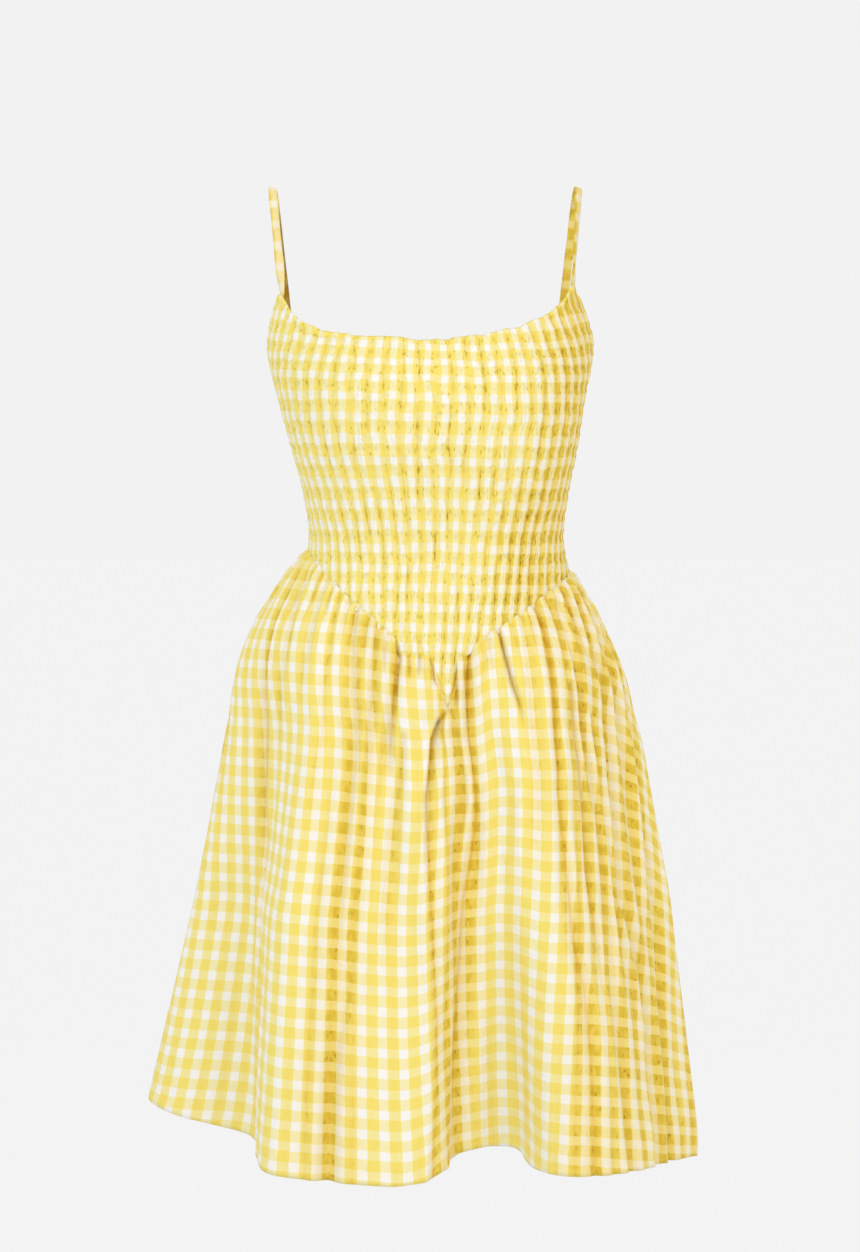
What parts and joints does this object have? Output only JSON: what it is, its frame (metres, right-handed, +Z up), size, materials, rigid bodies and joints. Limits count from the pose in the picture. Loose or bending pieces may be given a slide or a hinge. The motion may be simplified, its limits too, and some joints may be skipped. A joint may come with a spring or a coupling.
{
  "type": "sundress",
  "caption": "Sleeveless sundress with thin shoulder straps, a shirred bodice that ends in a basque point and a gathered, flared short skirt with an uneven hem.",
  "frame": {"origin": "midway between the crowns of the two straps, where the shoulders carry the dress", "axes": "+Z up along the dress, -Y out of its front, +X toward the viewer's right as the front is seen"},
  "size_m": [0.5012, 0.2918, 0.884],
  "materials": {
    "shirred_gingham": "yellow and white gingham cotton, shirred on elastic thread",
    "gingham": "yellow and white gingham cotton",
    "strap_cloth": "yellow and white gingham cotton, folded into a narrow flat tube"
  },
  "bodies": {
    "root": {"bodice_front": "shirred_gingham", "bodice_back": "shirred_gingham", "skirt_front": "gingham", "skirt_back": "gingham", "strap_left": "strap_cloth", "strap_right": "strap_cloth"}
  },
  "joints": []
}
